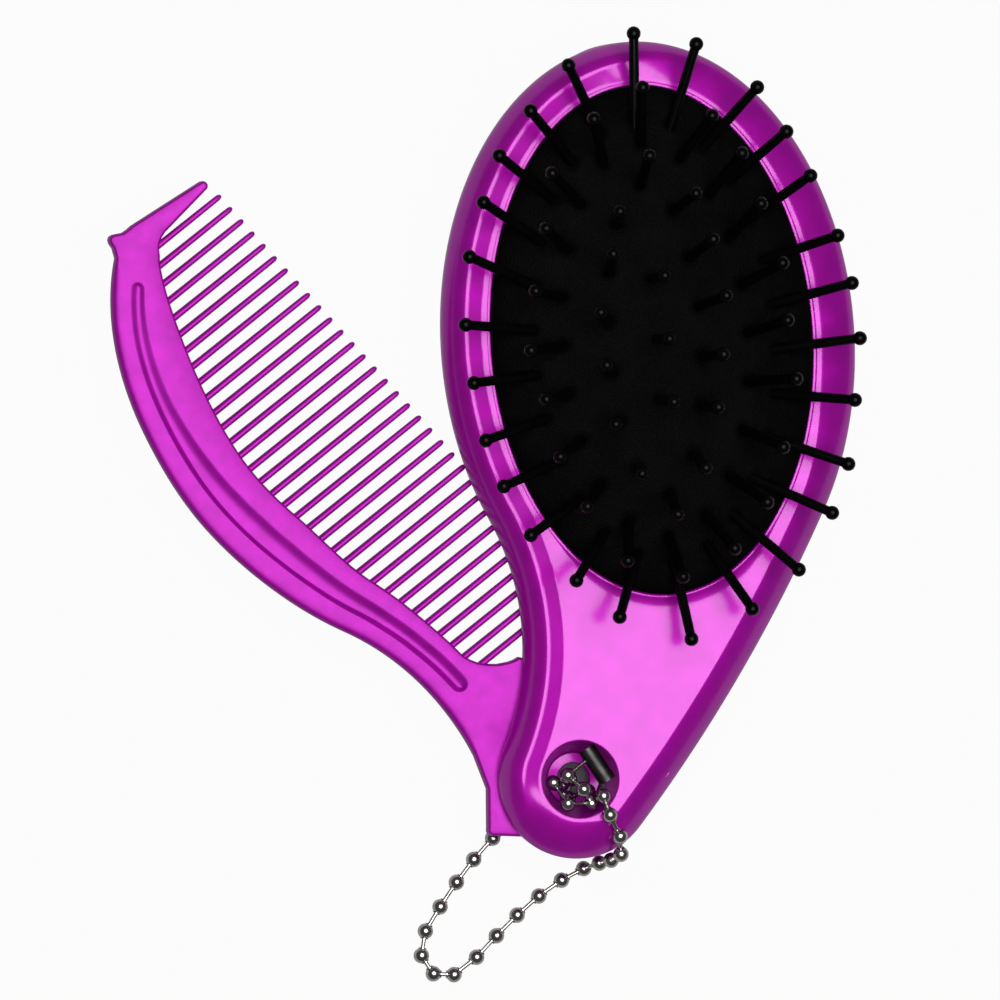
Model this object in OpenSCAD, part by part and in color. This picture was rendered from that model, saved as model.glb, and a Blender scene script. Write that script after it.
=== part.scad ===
// Pocket hairbrush with a comb that swings out from between its two shells.
// It lies on its mirror side. Z = 0 is the plane that it rests on, +Z points along the
// bristles, +Y runs from the handle to the head, and the comb's hinge axis is the Z axis.

/* [Head] */
// Width of the oval head
head_w = 50.4; // [49:0.2:54]
// Length of the oval head
head_l = 72; // [70:0.5:78]
// Sideways distance from the hinge axis to the middle of the head
head_x = 12.5; // [10.5:0.1:14]
// Distance along the brush from the hinge axis to the middle of the head
head_y = 52.2; // [50:0.2:57]

/* [Handle] */
// Radius of the rounded handle end round the hinge axis
tip_r = 9.6; // [9.3:0.1:10.4]
// Radius of the hollow curve at the neck, on the comb's side
neck_r = 32; // [24:1:44]
// Radius of the full curve down the other flank
flank_r = 200; // [150:5:400]
// How far the underside of the handle end is lifted off the table
handle_lift = 2.1; // [1.6:0.1:2.2]

/* [Shells] */
// Wall thickness of both shells
wall = 1.3; // [1.1:0.05:1.5]
// Width of the raised rim of both shells
rim_w = 4.6; // [4.2:0.1:4.8]
// Distance of the rim's crest from the outer edge
crest_d = 2.6; // [2.3:0.1:2.9]
// Width of the flat land along the rim's crest
crest_flat = 0.5; // [0.3:0.1:0.8]
// Depth of the back shell, from its rim to the comb slot
back_depth = 4.8; // [4.6:0.1:6]
// Height of the comb slot between the shells
slot_h = 2.8; // [2.7:0.05:3.4]
// Depth of the front shell, from the comb slot to its rim
front_depth = 4.5; // [4.3:0.1:5.4]
// How far the front panel lies below the front rim's crest
front_drop = 0.8; // [0.5:0.1:1.4]
// How far the back panel lies inside the back rim
back_drop = 2.3; // [2.2:0.1:2.6]
// Height of the rounded part of the front rim's side, where it has its crest
front_round = 3.2; // [2.6:0.1:3.6]
// Height of the round shoulder of the front rim, on the side away from the comb
shoulder_h = 3.2; // [2.8:0.1:3.6]
// Height of the rounded part of the back rim's side
back_round = 3.8; // [2.4:0.1:4]

/* [Hinge] */
// Radius of the hole in the front panel, where the barrel starts
hole_r = 4.6; // [4.2:0.1:4.7]
// Outer radius of the barrel that the comb turns on
barrel_r = 5.5; // [5.3:0.05:5.7]
// Radius of the bore at the barrel's foot
barrel_bore_r = 3.35; // [3.2:0.05:3.6]
// Radial clearance between the barrel and what it passes through
hinge_gap = 0.05; // [0.03:0.01:0.08]
// Play between the comb's eye and each shoulder
side_gap = 0.05; // [0.04:0.01:0.15]
// Radius of the shoulders that the comb's eye runs between
shoulder_r = 7.4; // [7:0.1:7.6]
// Wall of the spigot that plugs into the barrel's foot
spigot_wall = 1.35; // [1:0.05:1.4]
// Height of the spigot above the back panel
spigot_h = 1.8; // [1.2:0.1:2.2]

/* [Comb] */
// Thickness of the comb's spine
comb_t = 2.4; // [2:0.05:2.5]
// Angle that the comb is swung out by
open_angle = 38.3; // [0:0.1:45]
// Width of the spine along the head
spine_w = 8.7; // [8:0.1:9.6]
// Width of the spine at the neck
spine_neck_w = 6; // [5.6:0.1:7]
// Distance between neighbouring teeth
tooth_pitch = 2; // [1.8:0.05:2.4]
// Number of fine teeth
tooth_count = 33; // [24:1:33]
// Width of a tooth at its root
tooth_w = 0.8; // [0.6:0.02:0.9]
// Width of a tooth at its tip
tooth_tip_w = 0.66; // [0.4:0.02:0.7]
// Thickness of a tooth at its tip
tooth_tip_t = 0.9; // [0.7:0.05:1.2]
// Lean of the teeth from square to the brush
tooth_slope = 3.9; // [0:0.1:6]
// Distance that the teeth reach past the middle line of the head
tooth_reach = 3.2; // [2:0.1:4]
// Depth of the channel along the spine
channel_depth = 0.5; // [0.3:0.05:0.8]
// Width of the channel along the head
channel_w = 2.8; // [1.8:0.1:3.2]
// Distance of the channel from the comb's outer edge
channel_in = 2.5; // [2:0.1:3]
// How far the comb stands out of the slot at the neck, when it is folded in
comb_proud = 0.75; // [0.2:0.05:1]
// How far it lies inside the slot's edge along the head
comb_shy = 0.3; // [0:0.05:0.5]
// Distance that the thumb lever stands out from the handle end
lever_reach = 3; // [2:0.1:3.4]

/* [Cushion] */
// Width of the rim beside the cushion's oval opening
pad_side = 5.6; // [5.3:0.1:6.6]
// Width of the rim beyond the ends of the opening
pad_end = 5.3; // [5:0.1:7]
// Height of the rounded lip round the opening
lip_h = 0.45; // [0.2:0.05:0.8]
// Width of the lip round the opening
lip_w = 0.9; // [0.6:0.1:1.2]
// Thickness of the rubber skin
skin_t = 1.2; // [0.9:0.1:1.6]
// Height of the cushion's middle above its edge
dome_h = 3.4; // [3:0.1:6]
// Thickness of the plate behind the cushion
base_t = 1; // [0.8:0.1:1.1]

/* [Bristle pins] */
// Length of a pin from the rubber to its ball
pin_len = 10.2; // [8:0.1:12]
// Diameter of a pin's shaft
pin_d = 1.22; // [0.9:0.02:1.4]
// Diameter of the ball at a pin's tip
ball_d = 1.76; // [1.5:0.02:2.2]
// Diameter of the flat head under the rubber
pin_head_d = 2.4; // [2:0.1:3]

/* [Mirror] */
// Width of the back rim beside the oval mirror
mirror_side = 5.9; // [5.7:0.1:7]
// Width of the back rim beyond the ends of the mirror
mirror_end = 5.6; // [5.5:0.1:7]
// Thickness of the mirror
mirror_t = 1.1; // [0.8:0.1:1.2]
// Thickness of the adhesive pad behind the mirror
tape_t = 0.3; // [0.2:0.05:0.4]

/* [Ball chain] */
// Diameter of a ball
bead_d = 1.9; // [1.6:0.05:2]
// Diameter of the wire between the balls
link_d = 0.5; // [0.4:0.05:0.7]
// Outer diameter of the coupling
clasp_d = 2.6; // [2.5:0.05:2.8]

/* [Hidden] */

// Colours of the pieces
shell_colour = [0.78, 0.10, 0.74];
comb_colour = [0.80, 0.12, 0.76];
rubber_colour = [0.03, 0.03, 0.035];
pin_colour = [0.05, 0.05, 0.055];
mirror_colour = [0.82, 0.85, 0.88];
tape_colour = [0.90, 0.90, 0.86];
nickel_colour = [0.72, 0.71, 0.69];

// Small overlap that joins two shapes of one moulding
join = 0.05;
// Number of sides on round pieces
round_fn = 64;
$fn = round_fn;

// ---- heights ----
slot_z = back_depth;
split_z = slot_z + slot_h;
front_z = split_z + front_depth;
panel_z = front_z - front_drop;
ceiling_z = panel_z - wall;
back_panel_z = back_drop + wall;
comb_z = slot_z + (slot_h - comb_t)/2;
comb_top = comb_z + comb_t;

// ---- the outline: an oval head, two flank arcs and a round handle end ----
head_a = head_w/2;
head_b = head_l/2;
head_mid = [head_x, head_y];

function unit(v) = v/norm(v);
function heading(v) = atan2(v[1], v[0]);
function mix(a, b, k) = a + (b - a)*k;
function ease(k) = let (c = min(1, max(0, k))) c*c*(3 - 2*c);
function oval(a, b, t) = head_mid + [a*cos(t), b*sin(t)];
function oval_out(t) = unit([head_b*cos(t), head_a*sin(t)]);

// Centre of a flank arc that leaves the oval at angle t: r > 0 is hollow, r < 0 is full
function flank_mid(t, r) = oval(head_a, head_b, t) + r*oval_out(t);
function flank_miss(t, r) = norm(flank_mid(t, r)) - abs(r + tip_r);
// Angle on the oval where the flank arc also touches the handle end, by halving
function flank_t(lo, hi, r, n = 30) = let (m = (lo + hi)/2)
    n == 0 ? m
    : flank_miss(m, r)*flank_miss(lo, r) > 0 ? flank_t(m, hi, r, n - 1)
    : flank_t(lo, m, r, n - 1);

neck_t = flank_t(180, 262, neck_r);
side_t = flank_t(285, 358, -flank_r) - 360;
neck_mid = flank_mid(neck_t, neck_r);
side_mid = flank_mid(side_t, -flank_r);
neck_touch = tip_r*unit(neck_mid);
side_touch = -tip_r*unit(side_mid);

neck_from = heading(oval(head_a, head_b, neck_t) - neck_mid);
neck_to = heading(neck_touch - neck_mid);
tip_from = heading(neck_touch);
tip_to = heading(side_touch) + 360;
side_from = heading(side_touch - side_mid);
side_to = heading(oval(head_a, head_b, side_t) - side_mid);

// The front rim's crest runs along the comb's side: 1 where it stands full, 0 where it is gone
function head_crest(t) = t > 270 ? 0 : ease((t - 58)/72);
function tip_crest(g) = 1 - ease((g - 172)/62);

// Stations round the outline, anticlockwise from the right flank, each with its outward
// normal and its share of the crest
head_n = 52;
neck_n = 11;
tip_n = 20;
side_n = 6;
stations = concat(
    [for (i = [0:head_n]) let (t = mix(side_t, neck_t, i/head_n))
        [oval(head_a, head_b, t), oval_out(t), head_crest(t)]],
    [for (i = [1:neck_n]) let (g = mix(neck_from, neck_to, i/neck_n))
        [neck_mid + neck_r*[cos(g), sin(g)], -[cos(g), sin(g)], 1]],
    [for (i = [1:tip_n]) let (g = mix(tip_from, tip_to, i/tip_n))
        [tip_r*[cos(g), sin(g)], [cos(g), sin(g)], tip_crest(g)]],
    [for (i = [1:side_n - 1]) let (g = mix(side_from, side_to, i/side_n))
        [side_mid + flank_r*[cos(g), sin(g)], [cos(g), sin(g)], 0]]);
station_n = len(stations);
function inset(s, d) = s[0] - d*s[1];
function inset_outline(d) = [for (s = stations) inset(s, d)];

// ---- the rim that both shells share ----
// Section of a rim with a crest, as [distance from the outer edge, depth from the crest, wall]
step_n = 4;
arc_n = 5;
function s_curve(u) = (1 - cos(180*u))/2;
land_from = crest_d - crest_flat/2;
land_to = crest_d + crest_flat/2;
function rim_section(depth, rise, drop) = concat(
    [[0, depth, 0], [wall, depth - wall, wall]],
    [for (i = [0:arc_n]) let (g = 90*i/arc_n)
        [land_from - (land_from - wall)*cos(g), rise - wall - (rise - wall)*sin(g), wall]],
    [for (i = [0:step_n]) let (u = i/step_n)
        [mix(land_to, rim_w, u), drop*s_curve(u) - (i == step_n ? join : 0), wall]],
    [for (i = [step_n:-1:0]) let (u = i/step_n)
        [mix(land_to, rim_w, u), drop*s_curve(u) + (i == step_n ? join : 0), 0]],
    [for (i = [arc_n:-1:0]) let (g = 90*i/arc_n)
        [land_from - land_from*cos(g), rise - rise*sin(g), 0]]);

// Section without a crest, point for point: a round shoulder that runs up to the panel, a
// quarter oval that is drawn flatter between its ends by the power
shoulder_n = arc_n + step_n + 1;
shoulder_power = 1.25;
function shoulder_section(depth, high, drop) = concat(
    [[0, depth, 0], [wall, depth - wall, wall]],
    [for (i = [0:shoulder_n])
        let (g = 90*i/shoulder_n, c = pow(cos(g), shoulder_power), e = pow(sin(g), shoulder_power))
        [rim_w - (rim_w - wall)*c, drop + (high - wall)*(1 - e) - (i == shoulder_n ? join : 0), wall]],
    [for (i = [shoulder_n:-1:0])
        let (g = 90*i/shoulder_n, c = pow(cos(g), shoulder_power), e = pow(sin(g), shoulder_power))
        [rim_w - rim_w*c, drop + high*(1 - e) + (i == shoulder_n ? join : 0), 0]]);

// The back rim rises towards the handle end, so that the handle stands clear of the table
lift_from = 26;
lift_to = 4;
function lift_at(p) = handle_lift*ease((lift_from - p[1])/(lift_from - lift_to));
function lifted(h, lift, drop) = h < drop ? h + lift*(1 - h/drop) : h;

// Closed ring of wall round the outline, its section mixed at each station from the two
module swept(plain, crested, z_crest, up, lift_on) {
    m = len(crested);
    points = [for (s = stations) let (lift = lift_on ? lift_at(s[0]) : 0)
        for (j = [0:m - 1])
            let (q = mix(plain[j], crested[j], s[2]), p = inset(s, q[0]),
                 h = lifted(q[1], lift, back_drop) + q[2])
            [p[0], p[1], z_crest + up*h]];
    faces = [for (i = [0:station_n - 1]) let (k = (i + 1)%station_n) for (j = [0:m - 1])
        let (l = (j + 1)%m, quad = [i*m + j, k*m + j, k*m + l, i*m + l])
            up < 0 ? quad : [quad[3], quad[2], quad[1], quad[0]]];
    polyhedron(points, faces);
}

module plate(points, z, h) translate([0, 0, z]) linear_extrude(h) polygon(points);

// An oval centred on the head, with the given half axes
function oval_ring(a, b, n = 96) = [for (i = [0:n - 1]) oval(a, b, 360*i/n)];
module oval_plate(a, b, z, h) plate(oval_ring(a, b), z, h);

pad_a = head_a - pad_side;
pad_b = head_b - pad_end;

// ---- fixings inside the shells ----
// Distance of the fixings from the outer edge, in the hollow of the rim
fix_d = 2.3;
boss_r = 1.05;
peg_r = 0.5;
peg_gap = 0.05;
// How far the foot of a boss lies from the back rim's crest, inside the wall
boss_sink = 0.75*wall;
// Share of the front rim's round shoulder that the pegs' bosses end below, inside the wall
peg_share = 0.485;
// Places of the pegs that hold the shells together, on the side away from the comb
peg_t = [64, 0, -36];
peg_seats = concat([for (t = peg_t) oval(head_a - fix_d, head_b - fix_d, t)],
                   [side_touch - fix_d*unit(side_touch) + [4.6, 5.2]]);
// Places of the stakes that hold the cushion's plate, midway between the opening and the wall
stake_r = 0.5;
stake_boss_r = 0.95;
stake_t = [30, 95, 150, 205, 250, 304];
stake_a = (pad_a + head_a - wall)/2;
stake_b = (pad_b + head_b - wall)/2;
function stake_seat(t) = oval(stake_a, stake_b, t);
stake_seats = [for (t = stake_t) stake_seat(t)];

// ---- heights of the cushion's parts ----
flange_t = 1;
base_top = ceiling_z - flange_t;
base_z = base_top - base_t;
// Width of the cushion's flange, which ends short of the stakes, and of the plate's ears
flange_w = min(stake_a - pad_a, stake_b - pad_b) - stake_boss_r - 0.15;
ear_r = stake_boss_r + 0.25;
// Width of the neck that joins an ear to the plate, and its length from the stake inwards
ear_neck = 2*boss_r;
ear_tail = max(stake_a - pad_a, stake_b - pad_b) + rim_w;

// ================= front shell =================
module front_shell() color(shell_colour) {
    difference() {
        union() {
            swept(shoulder_section(front_depth, shoulder_h, front_drop),
                  rim_section(front_depth, front_round, front_drop), front_z, -1, false);
            plate(inset_outline(rim_w - 0.3), ceiling_z, wall);
            oval_plate(pad_a + lip_w, pad_b + lip_w, ceiling_z + join, wall + lip_h - join);
            shoulder_z = comb_top + side_gap;
            translate([0, 0, shoulder_z]) cylinder(r = shoulder_r, h = ceiling_z + join - shoulder_z);
            barrel_z = back_panel_z + side_gap;
            translate([0, 0, barrel_z]) cylinder(r = barrel_r, h = ceiling_z + join - barrel_z);
            boss_z = split_z + side_gap;
            for (p = peg_seats) translate([p[0], p[1], boss_z])
                cylinder(r = boss_r, h = panel_z - peg_share*shoulder_h - boss_z);
            peg_z = slot_z + side_gap;
            for (p = peg_seats) translate([p[0], p[1], peg_z])
                cylinder(r = peg_r, h = boss_z + join - peg_z);
            for (t = stake_t) let (p = stake_seat(t)) translate([p[0], p[1], base_top])
                cylinder(r = stake_boss_r, h = ceiling_z + mix(0.2, 0.5, head_crest(t))*wall - base_top);
            for (p = stake_seats) translate([p[0], p[1], base_z])
                cylinder(r = stake_r, h = base_t + join);
        }
        oval_plate(pad_a, pad_b, base_top - 1, front_z - base_top + 2);
        funnel_z = back_panel_z + side_gap + spigot_h + 0.6;
        translate([0, 0, back_panel_z]) cylinder(r = barrel_bore_r, h = front_z);
        translate([0, 0, funnel_z])
            cylinder(r1 = barrel_bore_r, r2 = hole_r, h = panel_z - 0.8 - funnel_z);
        translate([0, 0, panel_z - 0.8 - join]) cylinder(r = hole_r, h = front_drop + 2);
    }
}

// ================= back shell =================
// The stations of the closed side, between the top of the head and the handle end
wall_from_t = 98;
stop_angle = 306;
wall_gap = 0.02;
closed_side = concat(
    [for (i = [0:tip_n]) let (g = mix(tip_from, tip_to, i/tip_n)) if (g > stop_angle)
        [tip_r*[cos(g), sin(g)], [cos(g), sin(g)]]],
    [for (i = [1:side_n - 1]) let (g = mix(side_from, side_to, i/side_n))
        [side_mid + flank_r*[cos(g), sin(g)], [cos(g), sin(g)]]],
    [for (i = [0:head_n]) let (t = mix(side_t, neck_t, i/head_n)) if (t < wall_from_t)
        [oval(head_a, head_b, t), oval_out(t)]]);
closed_n = len(closed_side);
mirror_a = head_a - mirror_side;
mirror_b = head_b - mirror_end;
mirror_gap = 0.15;
bezel_w = 1.1;

module back_shell() color(shell_colour) {
    spigot_r = barrel_bore_r - hinge_gap;
    difference() {
        union() {
            back_rim = rim_section(back_depth, back_round, back_drop);
            swept(back_rim, back_rim, 0, 1, true);
            plate(inset_outline(rim_w - 0.3), back_drop, wall);
            difference() {
                oval_plate(mirror_a + mirror_gap + bezel_w, mirror_b + mirror_gap + bezel_w,
                           back_drop - tape_t - mirror_t - 0.2, tape_t + mirror_t + 0.2 + join);
                oval_plate(mirror_a + mirror_gap, mirror_b + mirror_gap, -1, back_drop + 1);
            }
            plate(concat([for (s = closed_side) s[0]],
                         [for (i = [closed_n - 1:-1:0]) inset(closed_side[i], wall)]),
                  slot_z - join, slot_h + join - wall_gap);
            translate([0, 0, back_panel_z - join])
                cylinder(r = shoulder_r, h = comb_z - side_gap - back_panel_z + join);
            for (p = peg_seats) let (z = lift_at(p) + boss_sink) translate([p[0], p[1], z])
                cylinder(r = boss_r, h = split_z - wall_gap - z);
        }
        translate([0, 0, back_panel_z]) cylinder(r = barrel_r + hinge_gap, h = front_z);
        for (p = peg_seats) translate([p[0], p[1], slot_z - 0.4])
            cylinder(r = peg_r + peg_gap, h = front_z);
        cylinder(r = spigot_r - spigot_wall, h = front_z);
    }
    difference() {
        translate([0, 0, back_panel_z - join]) cylinder(r = spigot_r, h = spigot_h + join);
        cylinder(r = spigot_r - spigot_wall, h = front_z);
    }
}

// ================= mirror =================
module mirror_tape() color(tape_colour)
    oval_plate(mirror_a - 1.5, mirror_b - 1.5, back_drop - tape_t, tape_t);

module mirror() color(mirror_colour)
    oval_plate(mirror_a, mirror_b, back_drop - tape_t - mirror_t, mirror_t);

// ================= comb =================
// The comb is drawn folded in, where its outer edge follows the outline, a little inside it
// along the head and proud of it at the neck, and then swung out.
comb_top_t = 117;
function proud_at(p) = comb_proud*ease((head_y - 7 - p[1])/33) - comb_shy*ease((p[1] - head_y)/14);
comb_edge = [for (s = concat(
    [for (i = [0:head_n]) let (t = mix(side_t, neck_t, i/head_n)) if (t > comb_top_t)
        [oval(head_a, head_b, t), oval_out(t)]],
    [for (i = [1:neck_n]) let (g = mix(neck_from, neck_to, i/neck_n))
        [neck_mid + neck_r*[cos(g), sin(g)], -[cos(g), sin(g)]]]))
    [inset(s, -proud_at(s[0])), s[1]]];
comb_n = len(comb_edge);
eye_r = tip_r - wall - 0.3;
// The spine is narrow at the end tooth, full along the head and slimmer at the neck
root_high = head_y + 0.815*head_b;
root_low = 17;
spine_top_w = 4.3;
function spine_at(p) = p[1] > head_y
    ? mix(spine_w, spine_top_w, pow(max(0, p[1] - head_y - 6)/28, 4))
    : mix(spine_neck_w, spine_w, ease((p[1] - root_low - 5.5)/23));
root_line = [for (s = comb_edge) inset(s, spine_at(s[0]))];
root_table = [for (i = [comb_n - 1:-1:0]) [root_line[i][1], root_line[i][0]]];

tip_x = head_x + tooth_reach;
first_tooth_y = head_y + 0.797*head_b;
lean = tan(tooth_slope);
function tooth_y(k) = first_tooth_y - k*tooth_pitch;
function root_x(k, n = 3) = n == 0 ? 0
    : lookup(tooth_y(k) + (tip_x - root_x(k, n - 1))*lean, root_table);

// One tooth as a tapered oval bar with a rounded end, its rings along [distance, width, thickness]
tooth_sides = 8;
root_bury = 1.2;
module tooth(k) {
    x0 = root_x(k) - root_bury;
    length = (tip_x - x0)/cos(tooth_slope);
    root_t = min(comb_t - 0.3, 1.9);
    rings = [[0, tooth_w, root_t],
             [length*0.5, mix(tooth_w, tooth_tip_w, 0.6), mix(root_t, tooth_tip_t, 0.5)],
             [length - 0.4, tooth_tip_w, tooth_tip_t],
             [length, tooth_tip_w*0.45, tooth_tip_t*0.55]];
    last = len(rings) - 1;
    points = [for (q = rings) for (i = [0:tooth_sides - 1]) let (g = 360*i/tooth_sides)
        [q[0], q[1]/2*cos(g), q[2]/2*sin(g)]];
    faces = concat(
        [[for (i = [0:tooth_sides - 1]) i]],
        [for (r = [0:last - 1]) for (i = [0:tooth_sides - 1]) let (j = (i + 1)%tooth_sides)
            [r*tooth_sides + i, (r + 1)*tooth_sides + i, (r + 1)*tooth_sides + j, r*tooth_sides + j]],
        [[for (i = [tooth_sides - 1:-1:0]) last*tooth_sides + i]]);
    translate([x0, tooth_y(k) + (tip_x - x0)*lean, comb_z + comb_t/2])
        rotate([0, 0, -tooth_slope]) polyhedron(points, faces);
}

// The channel in the spine: a groove with round ends that follows the outer edge
function channel_width(p) = channel_w*(1 - 0.5*ease((p[1] - head_y - 12)/18)
                                       - 0.4*ease((root_low + 8 - p[1])/8));
channel_edge = [for (s = comb_edge) if (s[0][1] < root_high + 2 && s[0][1] > root_low - 0.5) s];
channel_n = len(channel_edge);

// Half round that ends the channel past a station, side -1 at the head and 1 at the neck
function channel_end(s, side) = let (r = channel_width(s[0])/2)
    [for (i = [1:5]) let (g = side > 0 ? 30*i : 180 - 30*i)
        inset(s, channel_in + r - r*cos(g)) + side*r*sin(g)*[-s[1][1], s[1][0]]];

module channel()
    plate(concat([for (s = channel_edge) inset(s, channel_in)],
                 channel_end(channel_edge[channel_n - 1], 1),
                 [for (i = [channel_n - 1:-1:0]) let (s = channel_edge[i])
                     inset(s, channel_in + channel_width(s[0]))],
                 channel_end(channel_edge[0], -1)),
          comb_top - channel_depth, comb_t);

// The end tooth: a straight bar from the top of the spine to a rounded tip, filleted inside
end_tip_r = 0.6;
end_tip = [tip_x - 0.9, first_tooth_y + 2.35];
end_fillet = [[3.3, 2.75], [2.5, 2.55], [1.75, 2.15], [0.8, 1]];
// Hook that the thumbnail catches, from the end tooth's outer edge over to the spine
hook = [[4.05, 1.6], [2.7, 1.65], [2.05, 2.1], [1.6, 2.35], [1.2, 2.4], [0.85, 2.2], [0.65, 1.8], [0.6, 1.1]];
// Hollow curve below the last tooth, from the root line to the web that reaches the hinge
web_fillet = [[4.9, -4.7], [3.6, -4.3], [2.45, -3.6], [1.5, -2.7], [0.75, -1.8], [0.3, -0.9]];

// Spine, hook and end tooth in one outline, down the outer edge and back up the roots
spine_root = [for (p = root_line) if (p[1] > root_low + 0.6) p];
low = spine_root[len(spine_root) - 1];
web_reach = 9.1;
spine_outline = concat(
    [for (s = comb_edge) s[0]],
    [[0, 0], [eye_r - 0.4, 0], [eye_r + 0.2, web_reach], [eye_r - 1.2, web_reach + 2.9]],
    [for (q = web_fillet) low + q],
    [for (i = [len(spine_root) - 1:-1:0]) spine_root[i]],
    [for (i = [len(end_fillet) - 1:-1:0]) root_line[0] + end_fillet[i]],
    [for (g = [-90:30:60]) end_tip + end_tip_r*[cos(g), sin(g)]],
    [end_tip + end_tip_r*[0.19, 0.98]],
    [for (q = hook) comb_edge[0][0] + q]);

// Thumb lever: a square corner beyond the handle end, which pushes the comb out
lever_at = 170;
lever_round = 0.7;
lever_tip = (tip_r + lever_reach)*[cos(lever_at), sin(lever_at)];
lever_mid = lever_tip + [lever_round*1.3, 0];
lever_outline = concat(
    [inset(comb_edge[comb_n - 4], 0.3), lever_tip + 5.6*[cos(48), sin(48)]],
    [for (g = [135:15:225]) lever_mid + lever_round*[cos(g), sin(g)]],
    [lever_tip + 4.3*[cos(-45), sin(-45)], (eye_r - 0.4)*[cos(200), sin(200)], [0, 0]]);

module comb() color(comb_colour) rotate([0, 0, open_angle]) difference() {
    union() {
        plate(spine_outline, comb_z, comb_t);
        plate(lever_outline, comb_z, comb_t);
        translate([0, 0, comb_z]) cylinder(r = eye_r, h = comb_t);
        for (k = [0:tooth_count - 1]) tooth(k);
    }
    channel();
    translate([0, 0, comb_z - 1]) cylinder(r = barrel_r + hinge_gap, h = comb_t + 2);
}

// ================= cushion =================
edge_z = panel_z + lip_h;
cushion_gap = 0.1;
dome_power = 0.62;
function dome_z(r) = edge_z + dome_h*pow(max(0, 1 - r*r), dome_power);
// Rings of the rubber from the flange's edge over the dome: [half width, half length, z]
dome_steps = [0.985, 0.94, 0.86, 0.75, 0.6, 0.42, 0.2];
cushion_rings = let (a = pad_a - cushion_gap, b = pad_b - cushion_gap,
                     f = flange_w + cushion_gap, zf = ceiling_z - cushion_gap)
    concat([[a + f, b + f, base_top + cushion_gap], [a + f, b + f, zf], [a, b, zf], [a, b, edge_z]],
           [for (r = dome_steps) [a*r, b*r, dome_z(r)]],
           [for (i = [len(dome_steps) - 1:-1:1]) let (r = dome_steps[i])
               [a*r - skin_t, b*r - skin_t, dome_z(r) - skin_t*0.9]],
           [[a - skin_t, b - skin_t, edge_z - 0.3], [a - skin_t, b - skin_t, base_top + cushion_gap]]);
cushion_sides = 60;

function cushion_band(i, k) = [for (j = [0:cushion_sides - 1]) let (l = (j + 1)%cushion_sides)
    [i*cushion_sides + j, k*cushion_sides + j, k*cushion_sides + l, i*cushion_sides + l]];

module cushion() color(rubber_colour) {
    m = len(cushion_rings);
    top = len(dome_steps) + 3;
    points = [for (q = cushion_rings) for (p = oval_ring(max(0.3, q[0]), max(0.3, q[1]), cushion_sides))
        [p[0], p[1], q[2]]];
    faces = concat(
        [for (i = [0:top - 1]) each cushion_band(i, i + 1)],
        [for (i = [top + 1:m - 2]) each cushion_band(i, i + 1)],
        cushion_band(m - 1, 0),
        [[for (j = [cushion_sides - 1:-1:0]) top*cushion_sides + j]],
        [[for (j = [0:cushion_sides - 1]) (top + 1)*cushion_sides + j]]);
    polyhedron(points, faces);
}

module cushion_base() color(pin_colour) difference() {
    union() {
        oval_plate(pad_a + flange_w, pad_b + flange_w, base_z, base_t);
        for (p = stake_seats) translate([p[0], p[1], base_z]) cylinder(r = ear_r, h = base_t);
        for (p = stake_seats) let (v = head_mid - p) translate([p[0], p[1], base_z])
            rotate([0, 0, heading(v)]) translate([0, -ear_neck/2, 0]) cube([ear_tail, ear_neck, base_t]);
    }
    for (p = stake_seats) translate([p[0], p[1], base_z - 1]) cylinder(r = stake_r + peg_gap, h = base_t + 2);
    for (p = peg_seats) translate([p[0], p[1], base_z - 1]) cylinder(r = boss_r + 0.3, h = base_t + 2);
}

// ================= bristle pins =================
// Angles that divide an oval into n equal lengths, from its top
arc_steps = 120;
function arc_table(a, b) = [for (i = 0, s = 0; i <= arc_steps;
    s = s + norm([a*sin(90 - 360*(i + 0.5)/arc_steps), b*cos(90 - 360*(i + 0.5)/arc_steps)]), i = i + 1)
    [s, 90 - 360*i/arc_steps]];
function arc_angle(table, k) = lookup(k*table[arc_steps][0], table);

pin_stub = 1.6;
module pin(root, tip) {
    v = tip - root;
    translate(root) rotate([0, acos(v[2]/norm(v)), atan2(v[1], v[0])]) {
        translate([0, 0, -pin_stub]) cylinder(d = pin_d, h = pin_stub + norm(v), $fn = 24);
        translate([0, 0, norm(v)]) sphere(d = ball_d, $fn = 24);
        translate([0, 0, -pin_stub - 0.4]) cylinder(d = pin_head_d, h = 0.4, $fn = 24);
    }
}

// How far the roots and the balls of each ring lie inside the opening's edge, across and along
outer_root = [4.6, 3.8];
outer_ball = [-4.1, -5.2];
second_root = [8.3, 6.9];
second_ball = [4, 1.4];
third_root = [14, 12];
third_ball = [12.3, 10];
// Distance between the pins in the middle row, and how far the end ones lean
centre_pitch = 7.3;
centre_lean = 0.3;

// A ring of pins: roots on one oval of the dome, balls on a wider one
module pin_ring(n, root_in, ball_in, turn) {
    root_a = pad_a - root_in[0];
    root_b = pad_b - root_in[1];
    tip_a = pad_a - ball_in[0];
    tip_b = pad_b - ball_in[1];
    table = arc_table(tip_a, tip_b);
    for (i = [0:n - 1]) {
        t = arc_angle(table, ((i + turn)%n)/n);
        root = oval(root_a, root_b, t);
        tip = oval(tip_a, tip_b, t);
        u = [root_a/pad_a*cos(t), root_b/pad_b*sin(t)];
        root_z = dome_z(norm(u));
        run = norm(tip - root);
        pin([root[0], root[1], root_z], [tip[0], tip[1], root_z + sqrt(pin_len*pin_len - run*run)]);
    }
}

module pins_outer() color(pin_colour) pin_ring(26, outer_root, outer_ball, 25.9);
module pins_second() color(pin_colour) pin_ring(20, second_root, second_ball, 0);
module pins_third() color(pin_colour) pin_ring(14, third_root, third_ball, 13.9);
module pins_centre() color(pin_colour)
    for (i = [-1:1]) {
        p = head_mid + [0, centre_pitch*i];
        z = dome_z(centre_pitch*abs(i)/pad_b);
        pin([p[0], p[1], z], [p[0], p[1] + centre_lean*i, z + pin_len]);
    }

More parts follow.
